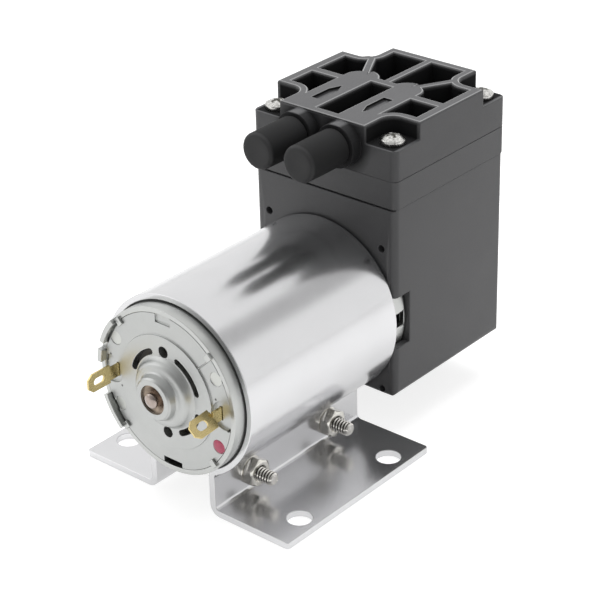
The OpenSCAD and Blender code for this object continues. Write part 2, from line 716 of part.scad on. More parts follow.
// The crankcase: motor seat in front, crank chamber behind it, bore and seat for the diaphragm on top
module crankcase() color([0.28, 0.28, 0.29]) difference() {
  union() {
    difference() {
      translate([0, 0, case_z0]) linear_extrude(block_z0 - case_z0) head_outline(case_inset);
      block([-chamber_x, chamber_x], [chamber_y0, chamber_y1], [chamber_z0, chamber_z1]);
      block([-rear_open_x, rear_open_x], [chamber_y1 - 1, case_y1 + 1], [rear_open_z0, rear_open_z1]);
    }
    for (sx = sides, z = rear_screw_zs)
      bar_y(rear_boss_r, case_y1 - rear_screw_l - 1.5, rear_plate_y, sx * rear_screw_x, z);
    for (sx = sides, sy = sides)
      bar_z(screw_boss_r, seat_z - screw_l - 1.5, chamber_z1 + 1, sx * screw_x, head_yc + sy * screw_y);
  }
  bar_y(motor_seat_r, case_y0 - 1, can_y1, 0, axis_h);
  bar_y(boss_d / 2 + seat_fit, can_y1 - 1, chamber_y0 + 1, 0, axis_h);
  for (s = sides) {
    bar_y(motor_screw_r + 0.2, can_y1 - 1, chamber_y0 + 1, s * mount_pitch / 2, axis_h);
    scale([s, 1, 1]) block([can_r - 4, case_x + 1], [case_y0 - 1, can_y1],
      [axis_h - side_gap_h / 2, axis_h + side_gap_h / 2]);
  }
  for (sx = sides, sz = sides)
    bar_y(pilot_d / 2, case_y0 - 1, case_y0 + 8, sx * pilot_pitch_x / 2, axis_h + sz * pilot_pitch_z / 2);
  bar_z(deck_bore_r, chamber_z1 - 1, block_z0 + 1, 0, head_yc);
  bar_z(rim_r + seat_fit, block_z0 - rim_half, block_z0 + 1, 0, head_yc);
  for (sx = sides, sy = sides)
    bar_z(screw_d / 2 + run_fit, seat_z - screw_l - gap, block_z0 + 1, sx * screw_x, head_yc + sy * screw_y);
  rear_panel(seat_fit, rear_plate_y, case_y1 + 1);
  for (sx = sides, z = rear_screw_zs)
    bar_y(rear_screw_r + run_fit, case_y1 - rear_screw_l - gap, case_y1 + 1, sx * rear_screw_x, z);
  lower_edges();
  seam_groove();
}

// The shadow line under the valve block, across the front only
seam = 0.35;
module seam_groove()
  block([-head_w, head_w], [head_y0 - 1, head_y0 + 2 * seam], [block_z0 - seam, block_z0 + 1]);

module rear_cover() color([0.28, 0.28, 0.29]) difference() {
  union() {
    rear_panel(0, rear_plate_y, case_y1);
    block([-rear_open_x + gap, rear_open_x - gap], [chamber_y1, rear_plate_y + eps],
      [rear_open_z0 + gap, rear_open_z1 - gap]);
  }
  block([-rear_open_x + 2, rear_open_x - 2], [chamber_y1 - 1, rear_plate_y],
    [rear_open_z0 + 2, rear_open_z1 - 2]);
  for (sx = sides, z = rear_screw_zs)
    bar_y(rear_screw_r + 0.15, chamber_y1 - 1, case_y1 + 1, sx * rear_screw_x, z);
}

module rear_cover_screws() color("silver") for (sx = sides, z = rear_screw_zs) difference() {
  union() {
    bar_y(rear_screw_r, case_y1 - rear_screw_l, case_y1 + eps, sx * rear_screw_x, z);
    translate([sx * rear_screw_x, case_y1, z]) rotate([-90, 0, 0]) screw_head(rear_screw_head_r, 1.2);
  }
  translate([sx * rear_screw_x, case_y1 + 1.2, z]) cross_slot(1.9, 0.45, 0.8);
}

// A low pan head that stands on z = 0
module screw_head(r, h) rotate_extrude() intersection() {
  square([r, h]);
  union() {
    square([r, h / 2]);
    translate([0, h - 1.6 * r]) circle(r = 1.6 * r);
  }
}

// Hub, counterweight and offset journal in one turned and milled piece
module eccentric() color("darkgray") difference() {
  union() {
    bar_y(ecc_hub_r, hub_y0, hub_y1 + eps, 0, axis_h);
    bar_y(journal_r + 1, hub_y1, bearing_y0, 0, crank_z);
    bar_y(journal_r, hub_y1, bearing_y1, 0, crank_z);
    difference() {
      bar_y(weight_r, hub_y0, hub_y0 + weight_t, 0, axis_h);
      block([-weight_r - 1, weight_r + 1], [hub_y0 - 1, hub_y1], [axis_h - 2, axis_h + weight_r + 1]);
      for (s = sides) bar_y(1.6, hub_y0 - 1, hub_y1, s * (weight_r - 3.2), axis_h - 4.6);
    }
  }
  bar_y(shaft_r, hub_y0 - 1, bearing_y1 + 1, 0, axis_h);
  bar_z(motor_screw_r, axis_h, axis_h + ecc_hub_r + 1, 0, hub_y0 + weight_t / 2);
}

module eccentric_screw() color([0.25, 0.25, 0.27]) difference() {
  bar_z(motor_screw_r - run_fit, axis_h + shaft_r, axis_h + ecc_hub_r - 0.3, 0, hub_y0 + weight_t / 2);
  translate([0, hub_y0 + weight_t / 2, axis_h + ecc_hub_r - 1.6]) cylinder(r = 0.87, h = 3, $fn = 6);
}

// A ball's groove, cut by a ring of the ball's section
module ball_groove() translate([0, head_yc, crank_z]) rotate([-90, 0, 0]) rotate_extrude()
  translate([ball_pitch_r, 0]) circle(r = ball_r + run_fit);

module bearing_inner_race() color("silver") difference() {
  bar_y(journal_r + race_t, bearing_y0, bearing_y1, 0, crank_z);
  bar_y(journal_r, bearing_y0 - 1, bearing_y1 + 1, 0, crank_z);
  ball_groove();
}

module bearing_balls() color("whitesmoke") for (i = [0:ball_n - 1])
  translate([0, head_yc, crank_z]) rotate([0, i * 360 / ball_n, 0]) translate([ball_pitch_r, 0, 0])
    sphere(r = ball_r);

module bearing_outer_race() color("silver") difference() {
  bar_y(bearing_od / 2, bearing_y0, bearing_y1, 0, crank_z);
  bar_y(bearing_od / 2 - race_t, bearing_y0 - 1, bearing_y1 + 1, 0, crank_z);
  ball_groove();
}

// Ring, waisted column with a pocket in each face, and the flange under the diaphragm
module connecting_rod() color("ivory") difference() {
  union() {
    bar_y(ring_r, bearing_y0, bearing_y1, 0, crank_z);
    translate([0, bearing_y1, 0]) rotate([90, 0, 0]) linear_extrude(bearing_w)
      polygon([[-7, crank_z + ring_r - 3], [-3.4, crank_z + ring_r + 3], [-3.4, diaphragm_z0 - flange_t - 3],
        [-6, diaphragm_z0 - flange_t + eps], [6, diaphragm_z0 - flange_t + eps],
        [3.4, diaphragm_z0 - flange_t - 3], [3.4, crank_z + ring_r + 3], [7, crank_z + ring_r - 3]]);
    bar_z(disc_r, diaphragm_z0 - flange_t, diaphragm_z0, 0, head_yc);
  }
  bar_y(bearing_od / 2, bearing_y0 - 1, bearing_y1 + 1, 0, crank_z);
  bar_z(disc_screw_r + run_fit, diaphragm_z0 - disc_screw_l - gap, diaphragm_z0 + 1, 0, head_yc);
}

// Rolled rubber disc: a thick rim that the head grips and a flat centre between the two discs
module diaphragm() color([0.16, 0.16, 0.17]) translate([0, head_yc, 0]) rotate_extrude() polygon([
  [disc_screw_r + seat_fit, diaphragm_z0], [disc_r + 0.3, diaphragm_z0],
  [(disc_r + deck_bore_r) / 2, block_z0 + throw / 2 - 0.8], [deck_bore_r + 0.4, block_z0 - rim_half],
  [rim_r, block_z0 - rim_half], [rim_r, block_z0 + rim_half], [deck_bore_r + 0.4, block_z0 + rim_half],
  [(disc_r + deck_bore_r) / 2 + 0.4, block_z0 + throw / 2 + 0.5], [disc_r + 0.5, diaphragm_z1],
  [disc_screw_r + seat_fit, diaphragm_z1]]);

module clamp_disc() color("silver") difference() {
  bar_z(disc_r, diaphragm_z1, diaphragm_z1 + clamp_disc_t, 0, head_yc);
  bar_z(disc_screw_r + run_fit, diaphragm_z1 - 1, diaphragm_z1 + 3, 0, head_yc);
  translate([0, head_yc, diaphragm_z1])
    cylinder(r1 = disc_screw_r + run_fit, r2 = disc_screw_r + run_fit + clamp_disc_t, h = clamp_disc_t + eps);
}

module disc_screw() color("silver") difference() {
  union() {
    bar_z(disc_screw_r, diaphragm_z0 - disc_screw_l, diaphragm_z1 + clamp_disc_t / 2, 0, head_yc);
    translate([0, head_yc, diaphragm_z1])
      cylinder(r1 = disc_screw_r, r2 = disc_screw_r + clamp_disc_t - 0.1, h = clamp_disc_t);
  }
  translate([0, head_yc, diaphragm_z1 + clamp_disc_t]) rotate([90, 0, 0]) cross_slot(2.8, 0.6, 0.8);
}

// The valve block: conical pump chamber below, two valve seats with their ports, a seal groove on top
module valve_block() color([0.3, 0.3, 0.31]) difference() {
  translate([0, 0, block_z0]) linear_extrude(block_h) head_outline(0);
  bar_z(rim_r + seat_fit, block_z0 - 1, block_z0 + rim_half, 0, head_yc);
  translate([0, head_yc, block_z0 + rim_half - eps]) cylinder(r1 = deck_bore_r + 0.4, r2 = chamber_top_r,
    h = chamber_top - block_z0 - rim_half + eps);
  for (s = sides) translate([s * valve_x, head_yc, 0]) {
    bar_z(valve_pocket_r, chamber_top - eps, valve_seat_z, 0, 0);
    bar_z(stem_r + run_fit, chamber_top, cover_z0 + 1, 0, 0);
    for (i = [0:4]) rotate(i * 72 + 36) bar_z(0.5, chamber_top, cover_z0 + 1, stem_r + 1.1, 0);
  }
  for (sx = sides, sy = sides)
    bar_z(screw_hole_r, block_z0 - 1, cover_z0 + 1, sx * screw_x, head_yc + sy * screw_y);
  for (s = sides) translate([0, 0, cover_z0 - seal_h]) linear_extrude(seal_h + 1) seal_loop(s, seat_fit);
}

// A loop round one flow channel and its valve, grown by d
module seal_loop(s, d) difference() {
  long_hole(s * seal_x, head_y0 + 7, head_yc, seal_ri + seal_w + d);
  long_hole(s * seal_x, head_y0 + 7, head_yc, seal_ri - d);
}

// A long hole along Y between two round ends
module long_hole(x, y0, y1, r) {
  translate([x - r, y0]) square([2 * r, y1 - y0]);
  for (y = [y0, y1]) translate([x, y]) circle(r = r);
}

module cover_seal() color([0.16, 0.16, 0.17]) translate([0, 0, cover_z0 - seal_h]) linear_extrude(seal_h) {
  for (s = sides) seal_loop(s, 0);
}

// An umbrella valve that stands on z = 0: disc, stem through the seat, bulb behind it
module umbrella(seat_t) rotate_extrude() {
  polygon([[0, 0], [valve_r, 0], [valve_r - 0.2, valve_t * 0.7], [1.6, valve_t], [0, valve_t]]);
  translate([0, -seat_t - eps]) square([stem_r, seat_t + 2 * eps]);
  translate([0, -seat_t - bulb_h]) square([bulb_r, bulb_h]);
}

module inlet_valve() color([0.2, 0.2, 0.2]) translate([-valve_x, head_yc, valve_seat_z]) scale([1, 1, -1])
  umbrella(cover_z0 - valve_seat_z);

module outlet_valve() color([0.2, 0.2, 0.2]) translate([valve_x, head_yc, cover_z0])
  umbrella(cover_z0 - valve_seat_z);

// The corner notch at one corner, grown by d
module notch(sx, sy, d) {
  x = notch_x + d;
  y = notch_y + d;
  r = notch_r + d;
  translate([sx * head_w / 2, head_yc + sy * head_d / 2]) scale([-sx, -sy]) {
    translate([-1, -1]) square([x - r + 1, y + 1]);
    translate([-1, -1]) square([x + 1, y - r + 1]);
    translate([x - r, y - r]) circle(r = r);
  }
}

channel_end_y = head_y0 + 19.75;
channel_r = channel_w / 2;
end_rim = 0.85;

// The field of cells: the space inside the rim, less channels and ribs.
// The rim is thinner in front and behind than at the sides.
front_rim = rim_t - 0.5;
rear_rim = rim_t - 0.3;
side_rib_y = head_y0 + 16.5;
slot_end_y = channel_end_y - 0.45;
module cell_section() difference() {
  translate([-head_w / 2 + rim_t, head_y0 + front_rim])
    square([head_w - 2 * rim_t, head_d - front_rim - rear_rim]);
  for (sx = sides, sy = sides) notch(sx, sy, rib_t);
  for (s = sides) scale([s, 1]) {
    long_hole(channel_x, head_y0, channel_end_y, channel_r);
    intersection() {
      translate([channel_x, channel_end_y]) circle(r = channel_r + end_rim);
      translate([0, channel_end_y + 0.5]) square([channel_x, channel_r + 1]);
    }
    translate([channel_x, channel_end_y]) rotate(61) translate([0, -0.1]) square([18, rib_t]);
    translate([channel_x, side_rib_y]) square([head_w / 2 - channel_x, rib_t + 0.4]);
    translate([-eps, slot_end_y]) square([channel_x, rib_t + 0.4]);
    translate([-eps, channel_end_y]) square([rib_t / 2, head_d]);
  }
}

// A sunk arrow on one flow channel: a bar that tapers to its tip, towards dir along Y
arrow_w = 2.3;
arrow_l = 8.4;
arrow_tip = 2.8;
arrow_t = 0.6;
module flow_arrow(x, y, dir) translate([x, y, cover_z1 - arrow_t]) linear_extrude(arrow_t + 1) scale([1, dir])
  polygon([[-arrow_w / 2, 0], [arrow_w / 2, 0], [arrow_w / 2, arrow_l - arrow_tip], [0, arrow_l],
    [-arrow_w / 2, arrow_l - arrow_tip]]);

// The channel's hollow under one flow channel
module channel_hollow(s) {
  translate([0, 0, cover_z0 - 1]) linear_extrude(cover_h - channel_wall + 1)
    long_hole(s * channel_x, head_y0 + 2 + channel_r, channel_end_y, channel_r - channel_wall);
  bar_z(valve_pocket_r, cover_z0 - 1, cover_z0 + 1.4, s * valve_x, head_yc);
}

// A spigot with two barbs: its profile's y counts from the root boss to the tip
module spigot_profile() {
  r = spigot_d / 2;
  b = barb_d / 2;
  polygon([[0, 0], [r, 0], [r, spigot_l - 6], [b, spigot_l - 6], [r, spigot_l - 3.2], [b, spigot_l - 3.2],
    [r - 0.3, spigot_l], [0, spigot_l]]);
}

module head_cover() color([0.3, 0.3, 0.31]) difference() {
  union() {
    difference() {
      translate([0, 0, cover_z0]) linear_extrude(cover_h) head_outline(0);
      translate([0, 0, seat_z]) linear_extrude(seat_drop + 1) for (sx = sides, sy = sides) notch(sx, sy, 0);
      translate([0, 0, cell_z]) linear_extrude(cell_depth + 1) cell_section();
    }
    for (s = sides) {
      bar_y(root_d / 2, head_y0 - root_l, head_y0 + 1.5, s * port_pitch / 2, port_z);
      translate([s * port_pitch / 2, head_y0 - root_l + eps, port_z]) rotate([90, 0, 0])
        rotate_extrude() spigot_profile();
    }
  }
  for (s = sides) {
    bar_y(port_bore / 2, head_y0 - root_l - spigot_l - 1, head_y0 + 2 + channel_r,
      s * port_pitch / 2, port_z);
    channel_hollow(s);
  }
  flow_arrow(-channel_x + 0.2, head_y0 + 5.4, 1);
  flow_arrow(channel_x - 0.2, head_y0 + 14, -1);
  for (sx = sides, sy = sides)
    bar_z(screw_hole_r, cover_z0 - 1, cover_z1, sx * screw_x, head_yc + sy * screw_y);
}

module cover_screws() color("whitesmoke") for (sx = sides, sy = sides)
  translate([sx * screw_x, head_yc + sy * screw_y, seat_z]) difference() {
    union() {
      translate([0, 0, -screw_l]) cylinder(r = screw_d / 2, h = screw_l + eps);
      screw_head(screw_head_d / 2, 1.9);
    }
    translate([0, 0, 1.9]) rotate([90, 0, 0]) cross_slot(2.9, 0.6, 1.2);
  }

// A soft cap closed at its outer end: its profile's y counts from its mouth
cap_y1 = head_y0 - root_l - 0.1;
cap_l = spigot_l + cap_end;
cap_edge_r = 0.8;
module cap_profile() difference() {
  union() {
    square([cap_d / 2, cap_l - cap_edge_r]);
    square([cap_d / 2 - cap_edge_r, cap_l]);
    translate([cap_d / 2 - cap_edge_r, cap_l - cap_edge_r]) circle(r = cap_edge_r);
  }
  translate([-1, -1]) square([barb_d / 2 + cap_fit + 1, spigot_l + 1.2]);
}
module dust_cap(s) translate([s * port_pitch / 2, cap_y1, port_z]) rotate([90, 0, 0])
  rotate_extrude() cap_profile();

module inlet_cap() color([0.22, 0.22, 0.23]) dust_cap(-1);
module outlet_cap() color([0.22, 0.22, 0.23]) dust_cap(1);

clamp_bracket();
clamp_bolts();
clamp_washers();
clamp_nuts();
motor_can();
can_magnets();
magnet_clips();
front_bush();
rear_bush();
end_bell();
polarity_dot();
band_liner();
brush_card();
brush_springs();
brushes();
terminals();
motor_screws();
motor_shaft();
rotor_core();
rotor_windings();
commutator();
shaft_sleeves();
crankcase();
rear_cover();
rear_cover_screws();
eccentric();
eccentric_screw();
bearing_inner_race();
bearing_balls();
bearing_outer_race();
connecting_rod();
diaphragm();
clamp_disc();
disc_screw();
valve_block();
inlet_valve();
outlet_valve();
cover_seal();
head_cover();
cover_screws();
inlet_cap();
outlet_cap();
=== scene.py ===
import json
import math

import bmesh
import bpy
import numpy as np
from mathutils import Matrix, Vector

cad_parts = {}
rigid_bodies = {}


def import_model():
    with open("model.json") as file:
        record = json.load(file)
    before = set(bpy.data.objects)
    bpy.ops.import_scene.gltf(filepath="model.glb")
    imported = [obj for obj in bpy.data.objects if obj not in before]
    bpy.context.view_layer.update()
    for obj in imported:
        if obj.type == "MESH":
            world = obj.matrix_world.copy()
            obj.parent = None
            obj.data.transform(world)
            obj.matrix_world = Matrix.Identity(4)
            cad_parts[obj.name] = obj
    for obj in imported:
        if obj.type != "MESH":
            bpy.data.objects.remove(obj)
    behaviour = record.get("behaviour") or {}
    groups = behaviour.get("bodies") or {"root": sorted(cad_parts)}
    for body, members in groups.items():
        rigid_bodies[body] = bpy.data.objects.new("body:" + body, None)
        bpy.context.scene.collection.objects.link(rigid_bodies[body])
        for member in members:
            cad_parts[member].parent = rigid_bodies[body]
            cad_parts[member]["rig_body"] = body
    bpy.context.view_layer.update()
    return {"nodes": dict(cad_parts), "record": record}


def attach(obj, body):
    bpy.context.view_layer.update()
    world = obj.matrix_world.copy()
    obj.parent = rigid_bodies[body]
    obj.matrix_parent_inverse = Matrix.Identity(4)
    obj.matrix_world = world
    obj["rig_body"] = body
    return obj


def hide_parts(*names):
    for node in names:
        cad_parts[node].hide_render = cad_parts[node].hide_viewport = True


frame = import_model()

mm = 0.001
cad = frame["nodes"]

# Places that several pieces share, in millimetres: x to the right, y towards the head, z up
layout = {
    "axisZ": 26.976, "headMiddleY": 41.75, "coverTop": 69.4, "portX": 5.35, "portZ": 64.3,
    "screwX": 15.1, "screwY": 14.95, "screwSeatZ": 65.5, "legOuter": 8.75, "boltY": 12.0, "boltZ": 5.95,
    "markX": 13.3, "markUp": 7.5,
}


# Shader maths

def twoWays(operation):
    # A Math operation as a Python operator and its reflected form
    def straight(self, other):
        return self.paint.node("Math", {"operation": operation}, {0: self, 1: other})

    def reflected(self, other):
        return self.paint.node("Math", {"operation": operation}, {0: other, 1: self})

    return straight, reflected


class Signal:
    # One output socket, so that sums and products of sockets read as plain arithmetic
    def __init__(self, paint, socket):
        self.paint = paint
        self.socket = socket

    __add__, __radd__ = twoWays("ADD")
    __sub__, __rsub__ = twoWays("SUBTRACT")
    __mul__, __rmul__ = twoWays("MULTIPLY")
    __truediv__, __rtruediv__ = twoWays("DIVIDE")
    __pow__, __rpow__ = twoWays("POWER")

    def magnitude(self):
        return self.paint.node("Math", {"operation": "ABSOLUTE"}, {0: self})

    def root(self):
        return self.paint.node("Math", {"operation": "SQRT"}, {0: self})

    def clamped(self):
        return self.paint.node("Math", {"operation": "ADD", "use_clamp": True}, {0: self, 1: 0.0})


class Paint:
    # The nodes of one material or world; node() makes any node from its kind, settings and sockets
    def __init__(self, name, makers=bpy.data.materials):
        self.owner = makers.new(name)
        self.owner.use_nodes = True
        self.tree = self.owner.node_tree
        self.tree.nodes.clear()

    def node(self, kind, settings=None, sockets=None, out=0):
        made = self.tree.nodes.new("ShaderNode" + kind)
        for key, value in (settings or {}).items():
            setattr(made, key, value)
        for key, value in (sockets or {}).items():
            if isinstance(value, Signal):
                self.tree.links.new(value.socket, made.inputs[key])
            else:
                made.inputs[key].default_value = value
        return Signal(self, made.outputs[out] if len(made.outputs) else None)

    def position(self):
        # The point's own x, y and z in millimetres
        split = self.node("SeparateXYZ", None, {0: self.node("TexCoord", out="Object")}).socket.node
        return [Signal(self, output) / mm for output in split.outputs]

    def noise(self, size, stretch=(1, 1, 1), detail=3.0, rough=0.55):
        # Noise whose features are about size millimetres across
        where = self.node("Mapping", None, {"Vector": self.node("TexCoord", out="Object"), "Scale": stretch})
        return self.node("TexNoise", None, {"Vector": where, "Scale": 1 / (size * mm), "Detail": detail,
                                            "Roughness": rough})

    def mixed(self, factor, first, second):
        # A colour between two, each of them a socket or three numbers
        first, second = (c if isinstance(c, Signal) else (*c, 1) for c in (first, second))
        return self.node("Mix", {"data_type": "RGBA"}, {0: factor, 6: first, 7: second}, out=2)

    def bump(self, height):
        # The normal that a height in millimetres gives
        return self.node("Bump", None, {"Height": height, "Distance": mm, "Strength": 1.0})

    def rays(self):
        # What the camera sees, and what mirrors and glass see
        outputs = self.node("LightPath").socket.node.outputs
        return [Signal(self, outputs["Is " + kind + " Ray"]) for kind in ("Camera", "Glossy", "Transmission")]

    def finish(self, surface):
        world = isinstance(self.owner, bpy.types.World)
        self.node("OutputWorld" if world else "OutputMaterial", None, {"Surface": surface})
        return self.owner


def ramp(value, start, end):
    # 0 at start, 1 at end and straight between; start may be the larger of the two
    return ((value - start) / (end - start)).clamped()


def spread(noise, low, high):
    # Maps noise, which keeps near its middle, onto the range from low to high
    return low + (high - low) * ramp(noise, 0.28, 0.72)


def scaled(colour, share):
    return tuple(min(1, c * share) for c in colour)


def distance(across, up, u, v):
    # How far a point is from (u, v)
    across, up = across - u, up - v
    return (across * across + up * up).root()


def metal(name, colour, rough=0.3, roughSpread=0.08, contrast=0.12, patch=3.0, grain=0.3,
          grainStretch=(1, 1, 1), height=0.004, waves=None, stain=None, spots=(), haze=0.0):
    # Bare or plated metal: patchy tone, grain in its gloss, fine relief, broad waves, stains and spots where
    # asked, and a share of haze, a second much duller gloss, as fine scratches give
    paint = Paint(name)
    patches = paint.noise(patch, detail=4)
    fine = paint.noise(grain, grainStretch, detail=3)
    shade = paint.mixed(spread(patches, 0, 1), scaled(colour, 1 - contrast), colour)
    if stain:
        blotch = spread(paint.noise(stain["size"], detail=5, rough=0.65), 0, 1) ** stain["sharp"]
        shade = paint.mixed((blotch * stain["amount"]).clamped(), shade, stain["colour"])
    for mask, tone in spots:
        shade = paint.mixed(mask(*paint.position()), shade, tone)
    relief = fine * height
    if waves:
        relief = relief + paint.noise(waves["size"], waves["stretch"], detail=1) * waves["height"]
    normal = paint.bump(relief)
    gloss = spread(fine * 0.5 + patches * 0.5, rough - roughSpread, rough + roughSpread)
    shader = paint.node("BsdfPrincipled", None, {"Base Color": shade, "Metallic": 1.0, "Roughness": gloss,
                                                 "Normal": normal})
    if haze:
        veil = paint.node("BsdfPrincipled", None, {"Base Color": shade, "Metallic": 1.0, "Roughness": 0.7,
                                                   "Normal": normal})
        shader = paint.node("MixShader", None, {0: haze, 1: shader, 2: veil})
    return paint.finish(shader)


def moulded(name, colour, rough=0.5, roughSpread=0.08, contrast=0.14, patch=5.0, grain=0.25, height=0.01,
            sheen=0.5, dust=0.0, shadeMask=None, shadeShare=0.5, edges=None, edgeHighlightGain=1.5):
    # Moulded plastic or rubber: pitted grain, uneven gloss and a trace of dust; where the shade mask
    # finds a place the surface gets painted shade, a duller copy darker by the given share, and where
    # edges() finds an edge it gets a glossy skin and a painted highlight, paler by the given factor
    paint = Paint(name)
    patches = paint.noise(patch, detail=4)
    pits = paint.noise(grain, detail=2)
    shade = paint.mixed(spread(patches, 0, 1), scaled(colour, 1 - contrast), colour)
    if dust:
        specks = spread(paint.noise(0.6, detail=6, rough=0.75), 0, 1) ** 6
        shade = paint.mixed((specks * dust).clamped(), shade, (0.5, 0.5, 0.48))
    gloss = spread(pits * 0.5 + patches * 0.5, rough - roughSpread, rough + roughSpread)
    edgeHighlight = 0.0
    # Painted highlight: the found edges are paler, with a glossy coat and less roughness
    if edges:
        edgeHighlight = edges(*paint.position())
        shade = paint.mixed(edgeHighlight, shade, scaled(colour, edgeHighlightGain))
        gloss = gloss * (1 - edgeHighlight * 0.75)
    normal = paint.bump(pits * height + patches * height)
    shader = paint.node("BsdfPrincipled", None, {
        "Base Color": shade, "Roughness": gloss, "Specular IOR Level": sheen, "Normal": normal,
        "Coat Weight": edgeHighlight, "Coat IOR": 2.4, "Coat Roughness": 0.08})
    # Painted shade: a darker, duller copy of the surface, mixed in by the shade mask
    if shadeMask:
        shadedCopy = paint.node("BsdfPrincipled", None, {
            "Base Color": (*scaled(colour, 1 - shadeShare), 1), "Roughness": 0.8, "Specular IOR Level": 0.1,
            "Normal": normal})
        shader = paint.node("MixShader", None, {0: shadeMask(*paint.position()), 1: shader, 2: shadedCopy})
    return paint.finish(shader)


print("finishes")
plate = {"roughSpread": 0.06, "contrast": 0.07, "patch": 4, "grain": 0.35, "grainStretch": (1, 0.15, 1),
         "height": 0.003}
nylon = {"rough": 0.42, "contrast": 0.08, "patch": 6, "grain": 0.22, "height": 0.008, "dust": 0.04}
finishes = {
    "bracket_steel": metal("polishedSheet", (0.77, 0.77, 0.78), rough=0.2, roughSpread=0.04, contrast=0.04,
                           patch=9, grain=0.5, height=0.0006, haze=0.13,
                           waves={"size": 14, "stretch": (1, 0.4, 1), "height": 0.03}),
    "fastener_steel": metal("brightFastener", (0.88, 0.86, 0.8), rough=0.2, contrast=0.25, patch=1.2,
                            height=0.003),
    "can_steel": metal("satinPlate", (0.58, 0.59, 0.575), rough=0.34, **plate),
    "ferrite": moulded("ferrite", (0.09, 0.09, 0.092), rough=0.55, grain=0.2, height=0.015),
    "bronze": metal("oiledBronze", (0.36, 0.29, 0.23), rough=0.34, contrast=0.35, patch=0.9, height=0.006),
    "card_plastic": moulded("phenolicCard", (0.03, 0.024, 0.02), rough=0.45, contrast=0.3, patch=2),
    "tag_brass": metal("stampedBrass", (0.8, 0.65, 0.31), rough=0.26, contrast=0.16, patch=1.5, grain=0.25,
                       grainStretch=(1, 0.2, 1), height=0.003),
    "carbon": moulded("pressedGraphite", (0.05, 0.05, 0.055), rough=0.35, sheen=0.8),
    "screw_nickel": metal("brightNickel", (0.97, 0.96, 0.93), rough=0.26, contrast=0.25, patch=0.7,
                          height=0.006,
                          stain={"size": 0.45, "sharp": 1.8, "amount": 1.0, "colour": (0.12, 0.12, 0.11)}),
    "shaft_steel": metal("groundShaft", (0.5, 0.42, 0.38), rough=0.2, contrast=0.3, patch=1.1, height=0.002),
    "lamination": metal("laminations", (0.34, 0.35, 0.37), rough=0.4, contrast=0.2, grain=0.5,
                        grainStretch=(0.05, 1, 0.05), height=0.02),
    "copper": metal("enamelledCopper", (0.62, 0.26, 0.12), rough=0.28, contrast=0.2, patch=1.6),
    "white_plastic": moulded("acetal", (0.72, 0.7, 0.63), rough=0.4, contrast=0.06),
    "head_plastic": moulded("glassFilledNylon", (0.08, 0.08, 0.083), **nylon),
    "red_paint": moulded("redPaint", (0.8, 0.14, 0.24), rough=0.35, contrast=0.2, grain=0.5, height=0.01,
                         patch=0.8),
    "eccentric_zinc": metal("turnedZinc", (0.6, 0.6, 0.62), rough=0.32, contrast=0.15, patch=2),
    "race_steel": metal("groundRace", (0.6, 0.61, 0.63), rough=0.18, contrast=0.1, patch=2, height=0.001),
    "black_rubber": moulded("blackRubber", (0.03, 0.03, 0.031), rough=0.6, contrast=0.2),
    # The caps get painted shade: their sides darker and duller than their round ends
    "cap_rubber": moulded("softRubber", (0.04, 0.04, 0.041), rough=0.55, contrast=0.1, grain=0.3,
                          height=0.008, dust=0.03, sheen=0.3, shadeShare=0.6,
                          shadeMask=lambda x, y, z: ramp(y, 9.3, 9.9) * 0.8),
}

# The cover's two arrows, one each side of the middle: place, half width and length, taper, floor and tips
arrows = {"x": 6.05, "y": 32.6, "halfWidth": 1.15, "halfLength": 4.2, "taper": 2.8, "floorZ": 68.8,
          "leftTipY": 36.8, "rightTipY": 28.6}


def coverPaintedShade(x, y, z):
    # Painted shade: the cells and notches under the cover's top plane, darker the deeper, within its outer
    # walls; the walls of the two arrows and a painted shadow strip on their floors along the left wall; and
    # the front wall round the ports
    top, floor = layout["coverTop"], arrows["floorZ"]
    across = x.magnitude()
    deep = ramp(z, top - 0.2, top - 1)
    arrow = ramp((across - arrows["x"]).magnitude(), arrows["halfWidth"] + 0.2, arrows["halfWidth"] + 0.1)
    along = (y - arrows["y"]).magnitude()
    arrow = arrow * ramp(along, arrows["halfLength"] + 0.7, arrows["halfLength"] + 0.5)
    arrowWall = ramp(z, top - 0.06, top - 0.16) * ramp(z, floor + 0.04, floor + 0.09)
    right = ramp(x, 0, 0.01)
    fromTip = right * (y - arrows["rightTipY"]) + (1 - right) * (arrows["leftTipY"] - y)
    fromMiddle = x + arrows["x"] - right * 2 * arrows["x"]
    fromLeftWall = fromMiddle + ramp(fromTip, 0, arrows["taper"]) * arrows["halfWidth"]
    # Painted shadow on the arrows' floors beside their left walls
    wallShadow = ramp(fromLeftWall, 0.85, 0.5) * ramp(z, floor + 0.1, floor + 0.05)
    inside = ramp(across, 18.2, 17.8) * ramp(y, 23.2, 23.5) * ramp(y, 60.3, 60)
    # Painted shade on the front wall round the ports
    portRootShade = ramp(distance(across, z, layout["portX"], layout["portZ"]), 7.4, 4.8)
    portRootShade = portRootShade * ramp(y, 23.3, 23.2) * ramp(z, top - 0.5, top - 0.7)
    return (inside * (deep * (1 - arrow) + arrow * (arrowWall + wallShadow * 0.8)) + portRootShade * 0.85).clamped()


def coverEdgeHighlights(x, y, z):
    # Painted highlights on the rounded edges of the cover's top plane and of the screws' seats by the front
    # corners
    tops = [ramp(z, height - 0.003, height - 0.013) * ramp(z, height - size, height - size + 0.02)
            for height, size in ((layout["coverTop"], 0.1), (layout["screwSeatZ"], 0.18))]
    return tops[0] + tops[1] * ramp(x.magnitude() - y, -4.9, -4.8)


def bellMarks(x, y, z):
    # The four round marks near the corners of the bell's face
    across, up = x.magnitude(), (z - layout["axisZ"]).magnitude()
    return ramp(distance(across, up, layout["markX"], layout["markUp"]), 1.5, 1.35)


